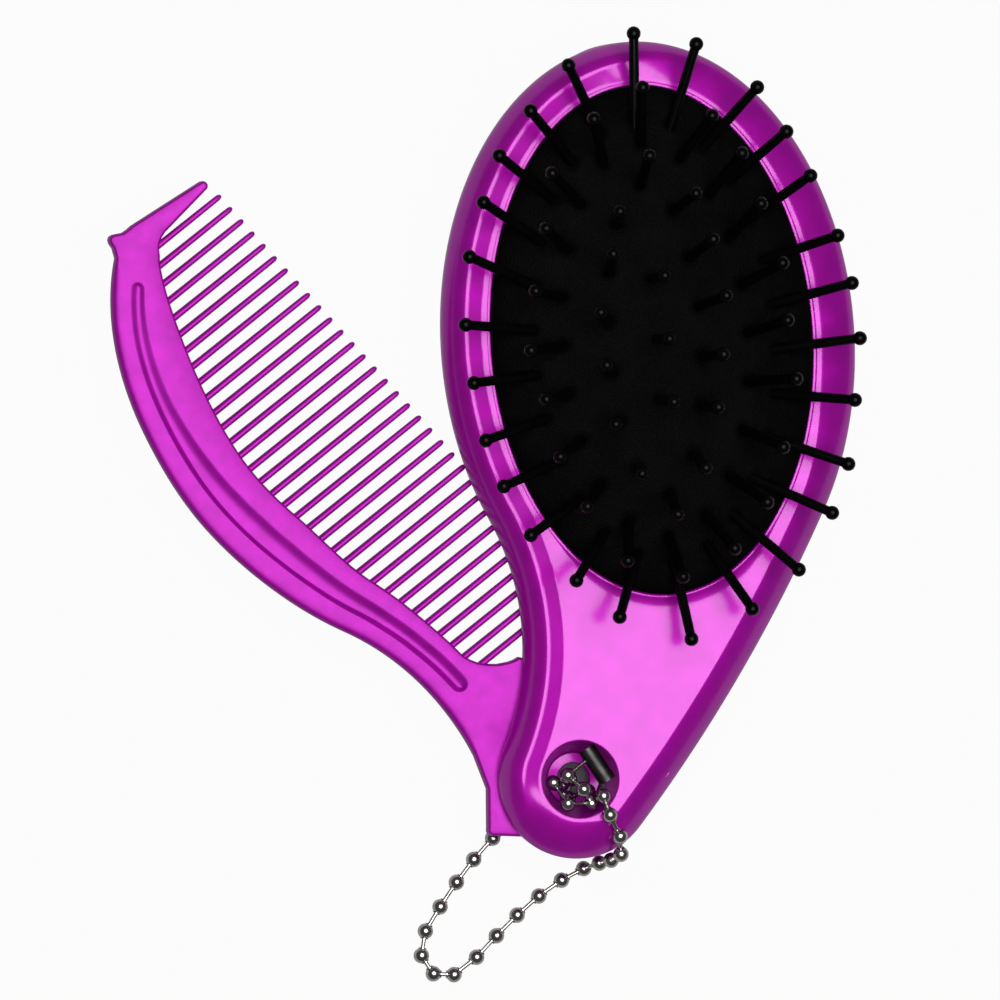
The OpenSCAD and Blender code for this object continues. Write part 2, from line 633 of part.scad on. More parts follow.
// ================= ball chain =================
// Centres of the balls, from the coupling in the hinge's mouth out over the rim, round the loop
// on the table, under the handle end, up through the spigot and heaped back to the coupling
chain_route = [
    [2.25, 0.1, 10.3], [2.6, -2.2, 11.6], [3.1, -4.5, 12.3], [4.3, -7.2, 11.3], [4.5, -9.4, 9.6],
    [3.7, -10.1, 6.6], [2.6, -10.4, 4.1], [1.1, -11.0, 1.0], [-1.7, -12.2, 1.0], [-4.6, -13.9, 1.0],
    [-7.4, -16.0, 1.0], [-10.1, -18.3, 1.0], [-12.7, -20.7, 1.0], [-15.6, -22.6, 1.0],
    [-18.1, -22.3, 1.0], [-19.4, -20.0, 1.0], [-18.7, -17.1, 1.0], [-16.7, -14.3, 1.0],
    [-14.5, -11.5, 1.0], [-12.2, -8.9, 1.0], [-9.7, -6.5, 1.0], [-6.8, -4.6, 1.0], [-3.7, -2.9, 1.0],
    [-0.7, -0.8, 1.6], [-0.4, 0, 4.9], [1.4, -1.6, 7.2], [-1.3, -2.2, 8.3], [-3.1, -0.2, 9.6],
    [-1.7, -2.8, 10.9], [1.3, -3, 10], [0.2, -1.2, 12], [-1.5, 0.6, 11.1], [1.25, 2.35, 10.1]];
bead_n = len(chain_route);

module chain_beads() color(nickel_colour)
    for (p = chain_route) translate(p) sphere(d = bead_d, $fn = 24);

module rod(from, to, d) {
    v = to - from;
    translate(from) rotate([0, acos(v[2]/norm(v)), atan2(v[1], v[0])]) cylinder(d = d, h = norm(v), $fn = 16);
}

module chain_links() color(nickel_colour)
    for (i = [0:bead_n - 2]) let (a = chain_route[i], b = chain_route[i + 1], u = (b - a)/norm(b - a))
        rod(a + u*bead_d*0.4, b - u*bead_d*0.4, link_d);

// The coupling is a folded sleeve that holds the two end balls
module chain_clasp() color(nickel_colour) {
    a = chain_route[bead_n - 1];
    b = chain_route[0];
    u = (b - a)/norm(b - a);
    difference() {
        rod(a - u*1.1, b + u*1.1, clasp_d);
        rod(a - u*2, b + u*2, bead_d + 0.1);
    }
}

front_shell();
back_shell();
mirror();
mirror_tape();
comb();
cushion();
cushion_base();
pins_outer();
pins_second();
pins_third();
pins_centre();
chain_beads();
chain_links();
chain_clasp();
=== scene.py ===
"""Pocket hairbrush whose comb folds out from between two moulded shells.

The camera and the chain come first. Then the pieces are made in the order in which the brush is
put together: back shell and mirror, comb, front shell, cushion, pins. All pieces are drawn in
millimetres and then scaled to metres.
"""
import math

import bmesh
import bpy
from mathutils import Matrix, Vector


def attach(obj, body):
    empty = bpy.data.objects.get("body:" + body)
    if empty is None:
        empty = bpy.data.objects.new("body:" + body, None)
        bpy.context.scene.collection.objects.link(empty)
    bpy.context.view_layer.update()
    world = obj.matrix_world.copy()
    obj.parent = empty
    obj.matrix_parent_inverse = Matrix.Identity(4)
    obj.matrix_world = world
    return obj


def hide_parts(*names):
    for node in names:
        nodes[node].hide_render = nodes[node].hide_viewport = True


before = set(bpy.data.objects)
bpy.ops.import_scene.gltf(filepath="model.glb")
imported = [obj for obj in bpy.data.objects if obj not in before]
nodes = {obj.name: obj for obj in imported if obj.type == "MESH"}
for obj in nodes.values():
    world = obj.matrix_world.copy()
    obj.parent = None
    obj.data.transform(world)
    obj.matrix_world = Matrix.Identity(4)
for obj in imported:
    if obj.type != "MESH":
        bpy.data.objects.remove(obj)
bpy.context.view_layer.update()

# ---------------------------------------------------------------- camera
# It stands far above the table with a long lens, a little to the comb's side of upright,
# and is turned so that the brush leans slightly to the left.
tilt = math.radians(8.2)
turn = math.radians(4.15)
view_up = Vector((math.sin(turn), math.cos(turn), 0))
view_back = Vector((-math.sin(tilt) * math.cos(turn), math.sin(tilt) * math.sin(turn), math.cos(tilt)))
view_right = view_up.cross(view_back)
aim = Vector((-0.00571, 0.03414, 0))
stand_off = 3.0
field_width = 0.1208

lens = bpy.data.cameras.new("studio_camera")
lens.sensor_width = 36
lens.lens = 36 * stand_off / field_width
lens.clip_end = 20
camera = bpy.data.objects.new("studio_camera", lens)
bpy.context.scene.collection.objects.link(camera)
camera.matrix_world = Matrix.Translation(aim + view_back * stand_off) @ Matrix(
    (view_right, view_up, view_back)).transposed().to_4x4()
bpy.context.scene.camera = camera
bpy.context.scene.view_settings.view_transform = "Standard"

# ---------------------------------------------------------------- ball chain
# Nickel-plated steel chain of hollow balls on short wire links. It goes down through the hinge,
# round under the handle end and back over the rim, and a folded sleeve joins its ends in the mouth.
ball_d, wire_d = 1.9, 0.5
wire_from = 0.4 * ball_d
collar_from, collar_r, collar_t = 0.47 * ball_d, 0.95 * wire_d, 0.12
chain_route = [
    (2.9, 0.5, 10.4), (2.6, -2.2, 11.6), (3.1, -4.5, 12.3), (4.3, -7.2, 11.3), (4.5, -9.4, 9.6),
    (3.7, -10.1, 6.6), (2.6, -10.4, 4.1), (1.1, -11.0, 1.0), (-1.7, -12.2, 1.0), (-4.6, -13.9, 1.0),
    (-7.4, -16.0, 1.0), (-10.1, -18.3, 1.0), (-12.7, -20.7, 1.0), (-15.6, -22.6, 1.0),
    (-18.1, -22.3, 1.0), (-19.4, -20.0, 1.0), (-18.7, -17.1, 1.0), (-16.7, -14.3, 1.0),
    (-14.5, -11.5, 1.0), (-12.2, -8.9, 1.0), (-9.7, -6.5, 1.0), (-6.8, -4.6, 1.0), (-3.7, -2.9, 1.0),
    (-0.7, -0.8, 1.6), (-0.4, 0, 4.9), (1.4, -1.6, 7.2), (-1.3, -2.2, 8.3), (-3.1, -0.2, 9.6),
    (-1.7, -2.8, 10.9), (1.3, -3, 10), (0.2, -1.2, 12), (-1.5, 0.6, 11.1), (1.7, 2.65, 10.2)]
chain_route = [Vector(p) for p in chain_route]


def along(a, b, at=0.5):
    """Matrix that puts a shape made along Z between two points."""
    return Matrix.Translation(a.lerp(b, at)) @ (b - a).to_track_quat("Z", "Y").to_matrix().to_4x4()


def make_piece(name, bm, material, body, smooth=35):
    """Turns a bmesh drawn in millimetres into a piece that rides on a body."""
    bmesh.ops.scale(bm, vec=(0.001, 0.001, 0.001), verts=bm.verts)
    mesh = bpy.data.meshes.new(name)
    bm.to_mesh(mesh)
    bm.free()
    mesh.materials.append(material)
    mesh.shade_smooth()
    mesh.set_sharp_from_angle(angle=math.radians(smooth))
    piece = bpy.data.objects.new(name, mesh)
    bpy.context.scene.collection.objects.link(piece)
    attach(piece, body)
    return piece


def surface_play():
    """Shared effect: slow colour drift, fine speckle and a shallow wave for a worn surface."""
    group = bpy.data.node_groups.new("surface_play", "ShaderNodeTree")
    new_socket = group.interface.new_socket
    for name, value in (("Scale", 300.0), ("Depth", 0.00002), ("Fine Scale", 3000.0)):
        new_socket(name, in_out="INPUT", socket_type="NodeSocketFloat").default_value = value
    for name, kind in (("Drift", "Float"), ("Speckle", "Float"), ("Normal", "Vector")):
        new_socket(name, in_out="OUTPUT", socket_type="NodeSocket" + kind)
    entry = group.nodes.new("NodeGroupInput")
    leave = group.nodes.new("NodeGroupOutput")
    place = group.nodes.new("ShaderNodeTexCoord")
    drift = group.nodes.new("ShaderNodeTexNoise")
    drift.inputs["Detail"].default_value = 3
    fine = group.nodes.new("ShaderNodeTexNoise")
    fine.inputs["Detail"].default_value = 2
    wave = group.nodes.new("ShaderNodeBump")
    link = group.links.new
    for noise, scale in ((drift, "Scale"), (fine, "Fine Scale")):
        link(place.outputs["Object"], noise.inputs["Vector"])
        link(entry.outputs[scale], noise.inputs["Scale"])
    link(drift.outputs["Fac"], wave.inputs["Height"])
    link(entry.outputs["Depth"], wave.inputs["Distance"])
    link(drift.outputs["Fac"], leave.inputs["Drift"])
    link(fine.outputs["Fac"], leave.inputs["Speckle"])
    link(wave.outputs["Normal"], leave.inputs["Normal"])
    return group


play = surface_play()


def finish_of(name, colours, roughness, scale, depth, fine_scale, **sockets):
    """Material whose colour drifts between two tones and whose gloss varies with the speckle.

    The drift has scale waves to a metre and the depth of its bump is in metres; sockets are the
    shader's own, with _ for a space.
    """
    material = bpy.data.materials.new(name)
    material.use_nodes = True
    tree = material.node_tree
    shader = tree.nodes["Principled BSDF"]
    effect = tree.nodes.new("ShaderNodeGroup")
    effect.node_tree = play
    effect.inputs["Scale"].default_value = scale
    effect.inputs["Depth"].default_value = depth
    effect.inputs["Fine Scale"].default_value = fine_scale
    tone = tree.nodes.new("ShaderNodeValToRGB")
    tone.color_ramp.elements[0].position = 0.3
    tone.color_ramp.elements[1].position = 0.7
    for stop, colour in zip(tone.color_ramp.elements, colours):
        stop.color = (*colour, 1)
    gloss = tree.nodes.new("ShaderNodeMapRange")
    gloss.inputs["To Min"].default_value = roughness[0]
    gloss.inputs["To Max"].default_value = roughness[1]
    tree.links.new(effect.outputs["Drift"], tone.inputs["Fac"])
    tree.links.new(tone.outputs["Color"], shader.inputs["Base Color"])
    tree.links.new(effect.outputs["Speckle"], gloss.inputs["Value"])
    tree.links.new(gloss.outputs["Result"], shader.inputs["Roughness"])
    tree.links.new(effect.outputs["Normal"], shader.inputs["Normal"])
    for socket, value in sockets.items():
        shader.inputs[socket.replace("_", " ")].default_value = value
    return material


nickel = finish_of("nickel_plate", ((0.42, 0.41, 0.39), (0.58, 0.56, 0.54)), roughness=(0.12, 0.26),
                   scale=1500, depth=0.00002, fine_scale=6000, Metallic=1.0)

bm = bmesh.new()
for point in chain_route:
    bmesh.ops.create_uvsphere(bm, u_segments=24, v_segments=16, radius=ball_d / 2,
                              matrix=Matrix.Translation(point))
for a, b in zip(chain_route, chain_route[1:]):
    step = (b - a).normalized()
    foot, head = a + step * wire_from, b - step * wire_from
    bmesh.ops.create_cone(bm, cap_ends=True, segments=12, radius1=wire_d / 2, radius2=wire_d / 2,
                          depth=(head - foot).length, matrix=along(foot, head))
    for end, side in ((a, 1), (b, -1)):
        collar, half = end + step * side * collar_from, step * (collar_t / 2)
        bmesh.ops.create_cone(bm, cap_ends=True, segments=16, radius1=collar_r, radius2=collar_r,
                              depth=collar_t, matrix=along(collar - half, collar + half))
ball_chain = make_piece("ball_chain", bm, nickel, "brush")
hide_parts("chain_beads", "chain_links")

# The sleeve is a strip folded round the two end balls, with a slot left along its seam
sleeve_from, sleeve_to = chain_route[-1], chain_route[0]
sleeve_length = (sleeve_to - sleeve_from).length + 2.2
sleeve_r, sleeve_wall, sleeve_lip, sleeve_end, slot_half = 1.08, 0.16, 0.12, 0.5, 0.3


def corners_of(grown):
    """The corners among what an extrusion made."""
    return [v for v in grown if isinstance(v, bmesh.types.BMVert)]


def open_edges_of(grown):
    """The free edges among what an extrusion made."""
    return [e for e in grown if isinstance(e, bmesh.types.BMEdge) and e.is_boundary]


bm = bmesh.new()
bmesh.ops.create_circle(bm, segments=40, radius=sleeve_r,
                        matrix=Matrix.Translation((0, 0, -sleeve_length / 2)))
edges = bm.edges[:]
sleeve_middle = sleeve_length - 2 * (sleeve_lip + sleeve_end)
for lift in (sleeve_lip, sleeve_end, sleeve_middle, sleeve_end, sleeve_lip):
    grown = bmesh.ops.extrude_edge_only(bm, edges=edges)["geom"]
    bmesh.ops.translate(bm, vec=(0, 0, lift), verts=corners_of(grown))
    edges = open_edges_of(grown)
middles = {f: f.calc_center_median() for f in bm.faces}
slot_faces = [f for f, m in middles.items() if m.x > sleeve_r - 0.04 and abs(m.y) < slot_half]
bmesh.ops.delete(bm, geom=slot_faces, context="FACES")
bmesh.ops.recalc_face_normals(bm, faces=bm.faces)
bmesh.ops.solidify(bm, geom=bm.faces, thickness=sleeve_wall)
bmesh.ops.transform(bm, matrix=along(sleeve_from, sleeve_to), verts=bm.verts)
# The sleeve's steel is coloured almost black, as painted shade for the dark mouth it lies in, not as the
# steel's own tone.
steel_with_painted_shade = finish_of("steel_with_painted_shade", ((0.03, 0.03, 0.03), (0.07, 0.068, 0.066)), roughness=(0.3, 0.5),
                       scale=1200, depth=0.00003, fine_scale=5000, Metallic=1.0)
chain_sleeve = make_piece("chain_sleeve", bm, steel_with_painted_shade, "brush")
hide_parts("chain_clasp")

# ---------------------------------------------------------------- back shell
# Injection-moulded shell, vacuum-metallised and lacquered magenta. Its rim rolls round to a crest
# and drops inwards to a flat panel with an oval bezel for the mirror; the closed side has a wall.
head_mid = Vector((12.5, 52.2))
head_a, head_b = 25.2, 36.0
wall = 1.3
# The crest's level land lies between two distances from the edge, and the whole rim is rim_w wide
land_from, land_to, rim_w = 2.35, 2.85, 4.3
# Heights of the slot's floor and the parting plane, and the corners of each circle and oval
slot_z, split_z = 4.8, 7.6
hinge_n, oval_n = 96, 180
# The outline is most of an oval, a hollow neck, the handle's round end and a nearly straight flank.
# Here are the angles at which they meet, in degrees, and how many stations each stretch has.
oval_from, oval_to = -37.485, 214.024
head_n, neck_n, end_n, flank_n = 160, 32, 48, 44
end_from, end_to, end_r = 153.774, 319.009, 9.6
neck_arc = ((-37.318, 18.384), 32, 25.296, -26.227, neck_n, -1)
end_arc = ((0, 0), end_r, end_from, end_to, end_n, 1)
flank_arc = ((-143.717, 124.891), 200, -40.991, -28.229, flank_n, 1)


def arc(centre, radius, start, stop, n, out):
    """Stations on an arc, each with its outward normal; the last point is left to the next arc."""
    rows = []
    for i in range(n):
        g = math.radians(start + (stop - start) * i / n)
        spoke = Vector((math.cos(g), math.sin(g)))
        rows.append((Vector(centre) + radius * spoke, out * spoke))
    return rows


def oval_point(a, b, t):
    """Point on an oval round the head's middle, with half sizes a and b."""
    return Vector((head_mid.x + a * math.cos(t), head_mid.y + b * math.sin(t)))


def oval_station(degrees):
    """Station on the head's oval, with its outward normal."""
    t = math.radians(degrees)
    out = Vector((head_b * math.cos(t), head_a * math.sin(t))).normalized()
    return oval_point(head_a, head_b, t), out


def head_angle(i):
    """Angle on the oval at the outline's station i, in degrees."""
    return oval_from + (oval_to - oval_from) * i / head_n


stations = [oval_station(head_angle(i)) for i in range(head_n)]
stations += arc(*neck_arc) + arc(*end_arc) + arc(*flank_arc)


def ease(k):
    """Smooth step from 0 to 1."""
    k = min(1, max(0, k))
    return k * k * (3 - 2 * k)


def edge_at(d, z):
    """Corner places on the outline, d in from its edge and at height z."""
    def place(i):
        p, out = stations[i]
        return (p.x - d * out.x, p.y - d * out.y, z)
    return place


def oval_at(a, b, z):
    """Corner places on an oval round the head's middle."""
    def place(i):
        p = oval_point(a, b, math.tau * i / oval_n)
        return (p.x, p.y, z)
    return place


def circle_at(r, z):
    """Corner places on a circle round the hinge's axis."""
    def place(i):
        g = math.tau * i / hinge_n
        return (r * math.cos(g), r * math.sin(g), z)
    return place


def first_ring(bm, n, place):
    """Closed ring of n corners, each of which remembers its own station."""
    seat = bm.verts.layers.int.get("station") or bm.verts.layers.int.new("station")
    corners = []
    for i in range(n):
        v = bm.verts.new(place(i))
        v[seat] = i
        corners.append(v)
    return [bm.edges.new((corners[i - 1], corners[i])) for i in range(n)]


def next_ring(bm, ring, place):
    """Extrudes a ring and moves each new corner to its station's place."""
    seat = bm.verts.layers.int["station"]
    grown = bmesh.ops.extrude_edge_only(bm, edges=ring)["geom"]
    for v in corners_of(grown):
        v.co = place(v[seat])
    return open_edges_of(grown)


def run_rings(bm, ring, places):
    """Extrudes a ring through a row of places and gives back the last one."""
    for place in places:
        ring = next_ring(bm, ring, place)
    return ring


def fill_flat(bm, *rings):
    """Closes the flat area between a ring and the rings inside it."""
    edges = [e for ring in rings for e in ring]
    bmesh.ops.triangle_fill(bm, use_beauty=True, edges=edges, normal=(0, 0, 1))


def add_post(bm, centre, radius, low, high):
    """Round post inside a shell."""
    bmesh.ops.create_cone(bm, cap_ends=True, segments=24, radius1=radius, radius2=radius, depth=high - low,
                          matrix=Matrix.Translation((centre[0], centre[1], (low + high) / 2)))


magenta = finish_of("magenta_lacquer", ((0.46, 0.001, 0.42), (0.53, 0.001, 0.485)), roughness=(0.44, 0.52),
                    scale=420, depth=0.000006, fine_scale=5200, Metallic=0.5, Specular_IOR_Level=0.1,
                    Coat_Weight=0.87, Coat_Roughness=0.17)

# The panel lies back_drop above the crest, and the edge is tucked in between two stations
back_round, back_drop, handle_lift, back_n = 3.8, 2.3, 2.1, 12
tuck, tuck_from, tuck_to = 0.62, 86, 236


def back_rim_at(d, z):
    """The rim's underside rises towards the handle end, and its edge is tucked in along the slot."""
    def place(i):
        p, out = stations[i]
        open_side = ease((i - tuck_from) / 10) * ease((tuck_to - i) / 20)
        inset = d + tuck * open_side * max(0, 1 - d / rim_w)
        lift = handle_lift * ease((26 - p.y) / 22) * max(0, 1 - z / back_drop)
        return (p.x - inset * out.x, p.y - inset * out.y, z + lift)
    return place


# The rim's section, as distances from the edge and heights: a quarter round, a land, a soft step
back_section = [(0, back_round)]
for i in range(1, back_n + 1):
    g = math.radians(90 * i / back_n)
    back_section.append((land_from * (1 - math.cos(g)), back_round * (1 - math.sin(g))))
for i in range(back_n + 1):
    u = i / back_n
    back_section.append((land_to + (rim_w - land_to) * u, back_drop * (1 - math.cos(math.pi * u)) / 2))
back_section.append((rim_w + 0.2, back_drop))
inner_section = [(wall, slot_z), (wall, 4.0), (1.5, 3.7), (1.9, 3.6)]

bm = bmesh.new()
base_ring = first_ring(bm, len(stations), back_rim_at(0, slot_z))
panel_ring = run_rings(bm, base_ring, [back_rim_at(d, z) for d, z in back_section])
inner_ring = run_rings(bm, base_ring, [edge_at(d, z) for d, z in inner_section])
bezel_a, bezel_b = 19.45, 30.55
bezel = [(0.85, 1.2), (0.75, 0.8), (0.5, 0.7), (0.2, 0.7), (0, 0.9), (0, 2.28)]
bezel_out = first_ring(bm, oval_n, oval_at(bezel_a + 0.9, bezel_b + 0.85, back_drop))
bezel_in = run_rings(bm, bezel_out, [oval_at(bezel_a + e, bezel_b + e, z) for e, z in bezel])
fill_flat(bm, bezel_in)
# Radius and height up the bore, round the barrel's seat and out to the shoulder
bore = first_ring(bm, hinge_n, circle_at(2.15, back_drop))
bore_steps = [(2.0, 2.4), (1.95, 2.6), (1.95, 5.25), (2.05, 5.4), (3.1, 5.4), (3.3, 5.2), (3.3, 3.6),
              (5.55, 3.6), (5.55, 4.95), (7.4, 4.95), (7.4, 3.6)]
shoulder = run_rings(bm, bore, [circle_at(r, z) for r, z in bore_steps])
fill_flat(bm, panel_ring, bezel_out, bore)
fill_flat(bm, inner_ring, shoulder)
bmesh.ops.remove_doubles(bm, verts=bm.verts, dist=0.0005)
bmesh.ops.recalc_face_normals(bm, faces=bm.faces)

# The wall along the closed side, and the sockets for the front shell's pegs
wall_to = 98
closed = stations[-flank_n - 4:] + [stations[i] for i in range(head_n) if head_angle(i) < wall_to]
strip = [p for p, out in closed] + [p - wall * out for p, out in reversed(closed)]
wall_top = split_z - 0.02
face = bm.faces.new([bm.verts.new((p.x, p.y, slot_z)) for p in strip])
grown = bmesh.ops.extrude_face_region(bm, geom=[face])["geom"]
bmesh.ops.translate(bm, vec=(0, 0, wall_top - slot_z), verts=corners_of(grown))
peg_r, boss_r, peg_in, boss_foot, boss_top = 0.5, 1.05, 2.3, 3.5, 9.7
peg_seats = [oval_point(head_a - peg_in, head_b - peg_in, math.radians(t)) for t in (64, 0, -36)]
peg_seats.append(Vector((10.11, 0.41)))
for seat in peg_seats:
    add_post(bm, seat, boss_r, boss_foot, wall_top)
bmesh.ops.recalc_face_normals(bm, faces=bm.faces)
back_shell = make_piece("back_shell_moulding", bm, magenta, "brush", smooth=40)
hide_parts("back_shell")

# ---------------------------------------------------------------- mirror
# Oval of float glass, silvered on its back and ground along its edges. A pad of white foam tape
# holds it in the back shell's bezel.
foam = finish_of("foam_tape", ((0.78, 0.78, 0.74), (0.88, 0.88, 0.84)), roughness=(0.85, 0.95),
                 scale=900, depth=0.00004, fine_scale=4000)
nodes["mirror_tape"].data.materials.clear()
nodes["mirror_tape"].data.materials.append(foam)
silver = finish_of("silvered_glass", ((0.86, 0.88, 0.88), (0.90, 0.92, 0.92)), roughness=(0.01, 0.03),
                   scale=60, depth=0.0000005, fine_scale=900, Metallic=1.0)

bm = bmesh.new()
glass_a, glass_b = 19.3, 30.4
glass = [(-0.05, 1.95), (0, 1.85), (0, 1.15), (-0.2, 0.93), (-0.4, 0.9)]
back_face = first_ring(bm, oval_n, oval_at(glass_a - 0.2, glass_b - 0.2, 2.0))
front_face = run_rings(bm, back_face, [oval_at(glass_a + e, glass_b + e, z) for e, z in glass])
fill_flat(bm, back_face)
fill_flat(bm, front_face)
bmesh.ops.recalc_face_normals(bm, faces=bm.faces)
mirror = make_piece("mirror_glass", bm, silver, "brush", smooth=20)
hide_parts("mirror")

# ---------------------------------------------------------------- comb
# One moulding in the same lacquer: a spine that follows the brush's outline, fine teeth with
# rounded ridges, a thumb lever and an eye that turns on the front shell's barrel.
open_angle = math.radians(38.3)
comb_z, comb_top = 5.0, 7.4
comb_mid = (comb_z + comb_top) / 2
eye_r = 8.0
proud_low, sunk_top = 0.75, 0.3
spine_w, narrowing, web_w = 8.7, 4.4, 6.0


def proud_at(p):
    """How far the comb's outer edge stands out of the shells' outline."""
    return proud_low * ease((45.2 - p.y) / 33) - sunk_top * ease((p.y - head_mid.y) / 14)


def spine_at(p):
    """Width of the spine: it narrows at the head's top and towards the web."""
    if p.y > head_mid.y:
        return spine_w - narrowing * (max(0, p.y - 58.2) / 28) ** 4
    return web_w + (spine_w - web_w) * ease((p.y - 22.5) / 23)


# The outer edge starts at this angle of the oval and ends at this height, and the roots end sooner
comb_from, edge_n, edge_low_y, root_low_y = 117.3, 80, 9.3, 19.5
comb_edge = [oval_station(comb_from + (oval_to - comb_from) * i / edge_n) for i in range(edge_n + 1)]
comb_edge += [s for s in arc(*neck_arc)[1:] if s[0].y > edge_low_y]
comb_edge = [(p + proud_at(p) * out, out) for p, out in comb_edge]
root_line = [p - spine_at(p) * out for p, out in comb_edge]
root_line = [p for p in root_line if p.y > root_low_y]
low, top = root_line[-1], comb_edge[0][0]
first_tooth_y = head_mid.y + 0.797 * head_b
end_tip = Vector((14.8, first_tooth_y + 2.35))


def polar(r, degrees):
    """Step of length r in a direction."""
    return Vector((r * math.cos(math.radians(degrees)), r * math.sin(math.radians(degrees))))


# The outline, anticlockwise: outer edge, thumb lever, eye, web, the teeth's roots, end bar and hook
lever_tip, lever_r, bar_r = Vector((-11.5, 2.19)), 0.7, 0.6
web_fillet = [(4.9, -4.7), (4.2, -4.56), (3.6, -4.3), (2.45, -3.6), (1.5, -2.7), (0.75, -1.8), (0.3, -0.9)]
bar_fillet = [(0.35, 0.52), (0.8, 1.0), (1.25, 1.62), (1.75, 2.15), (2.5, 2.55), (3.3, 2.75)]
end_hook = [(4.05, 1.6), (3.4, 1.6), (2.7, 1.7), (2.05, 2.1), (1.6, 2.35), (1.2, 2.4), (0.85, 2.2),
            (0.65, 1.8), (0.55, 1.1)]
comb_line = [p for p, out in comb_edge]
comb_line += [Vector((-8.662, 6.35))]
comb_line += [lever_tip + polar(lever_r, g) for g in range(120, 241, 20)]
comb_line += [Vector((-9.37, -0.85))]
comb_line += [polar(eye_r, g) for g in range(200, 376, 5)]
comb_line += [Vector((8.2, 9.1)), Vector((7.8, 10.8)), Vector((6.8, 12.4))]
comb_line += [low + Vector(d) for d in web_fillet]
comb_line += list(reversed(root_line))
comb_line += [root_line[0] + Vector(d) for d in bar_fillet]
comb_line += [end_tip + polar(bar_r, g) for g in range(-90, 80, 13)]
comb_line += [top + Vector(d) for d in end_hook]
comb_n = len(comb_line)


def inward(line, i):
    """Unit direction into an anticlockwise outline at corner i, mitred."""
    before = (line[i] - line[i - 1]).normalized()
    after = (line[(i + 1) % len(line)] - line[i]).normalized()
    mean = (before + after).normalized()
    return Vector((-mean.y, mean.x)) / max(0.5, mean.dot(before))


comb_in = [inward(comb_line, i) for i in range(comb_n)]


def comb_at(d, z, soft=0.0):
    """Corner places d inside the comb's outline, and further in along its outer edge."""
    def place(i):
        k = ease(i / 6) * ease((len(comb_edge) - i) / 6) if i < len(comb_edge) else 0
        p = comb_line[i] + comb_in[i] * (d + soft * k)
        return (p.x, p.y, z)
    return place


# The channel runs along the spine between two lines, given with its depth by their distances from
# the outer edge at each length along it. Its outer wall is steep, and its floor curves up inwards.
channel_knots = [
    (2.6, 2.15, 3.9, 0.26), (10, 2.15, 4.2, 0.26), (20, 2.35, 4.65, 0.36), (25, 2.45, 5.0, 0.45),
    (30, 2.55, 5.4, 0.5), (35, 2.65, 5.75, 0.5), (40, 2.7, 5.9, 0.5), (45, 2.7, 5.85, 0.5),
    (50, 2.6, 5.55, 0.5), (55, 2.35, 5.05, 0.5), (60, 2.1, 4.5, 0.5), (65, 2.05, 4.35, 0.5),
    (73, 2.25, 4.55, 0.5)]
channel_from, channel_to = 3.4, 71.2
channel = []
run = 0
for i, (p, out) in enumerate(comb_edge):
    run += (p - comb_edge[i - 1][0]).length if i else 0
    for low_knot, high_knot in zip(channel_knots, channel_knots[1:]):
        if low_knot[0] <= run < high_knot[0] and channel_from < run < channel_to:
            k = (run - low_knot[0]) / (high_knot[0] - low_knot[0])
            near, far, deep = [a + (b - a) * k for a, b in zip(low_knot[1:], high_knot[1:])]
            channel.append((p - (near + far) / 2 * out, out, (far - near) / 2, deep, 1, Vector((0, 0))))
for last, before in ((0, 1), (-1, -2)):  # a round cap at each end
    mid, out, half, deep = channel[last][:4]
    way = (mid - channel[before][0]).normalized()
    caps = [(mid + way * half * k, out, half, deep, math.sqrt(1 - k * k), way * -0.6 * k)
            for k in (0.3, 0.6, 0.82, 0.94, 0.99)]
    channel = list(reversed(caps)) + channel if last == 0 else channel + caps
channel_n = len(channel)


def channel_at(q):
    """Corner places at share q of the way down from the channel's edge to its floor."""
    def place(i):
        outer = i < channel_n
        mid, out, half, deep, share, pull = channel[i if outer else 2 * channel_n - 1 - i]
        steep = 0.62 + 0.45 * max(0, 1.6 - half)
        gentle = 2 * half - steep - 0.15
        if outer:
            d, depth = half - q * steep, deep * ease(q)
        else:
            d, depth = q * gentle - half, deep * (1 - ease((1 - q) ** (1 + 1.1 * max(0, gentle - 1.2))))
        p = mid + d * share * out + pull * q
        return (p.x, p.y, comb_top - depth)
    return place


# The edge's section from below: distance in from the outline, height, and the outer edge's softness
comb_section = [
    (0.06, 5.06, 0), (0, 5.22, 0), (0, 6.7, 0), (0.01, 6.9, 0.05), (0.04, 7.08, 0.13), (0.09, 7.22, 0.24),
    (0.16, 7.31, 0.42), (0.22, 7.355, 0.66), (0.28, 7.385, 0.95), (0.32, comb_top, 1.3)]
bm = bmesh.new()
under = first_ring(bm, comb_n, comb_at(0.22, comb_z))
over = run_rings(bm, under, [comb_at(d, z, soft) for d, z, soft in comb_section])
shore = first_ring(bm, 2 * channel_n, channel_at(-0.15))
groove = next_ring(bm, shore, channel_at(-0.05))
groove_shares = (0, 0.08, 0.18, 0.3, 0.42, 0.55, 0.68, 0.8, 0.9, 1)
groove_foot = run_rings(bm, groove, [channel_at(q) for q in groove_shares])
eye_top = first_ring(bm, hinge_n, circle_at(5.7, comb_top))
eye_low = run_rings(bm, eye_top, [circle_at(r, z) for r, z in ((5.55, 7.3), (5.55, 5.1), (5.7, 5.0))])
fill_flat(bm, over, shore, eye_top)
fill_flat(bm, under, eye_low)
fill_flat(bm, groove_foot)

# Fine teeth: tapered oval bars whose flanks are drawn in to a ridge along the middle
tooth_count, tooth_pitch, tooth_slope = 33, 2.0, math.radians(3.9)
lean = math.tan(tooth_slope)
tip_x, root_sunk = 15.7, 1.2
tooth_n = 16
roots = sorted((p.y, p.x) for p in root_line)


def root_x(y):
    """Where the spine's inner edge lies at height y."""
    for (y0, x0), (y1, x1) in zip(roots, roots[1:]):
        if y0 <= y <= y1:
            return x0 + (x1 - x0) * (y - y0) / max(1e-6, y1 - y0)
    return roots[0][1] if y < roots[0][0] else roots[-1][1]


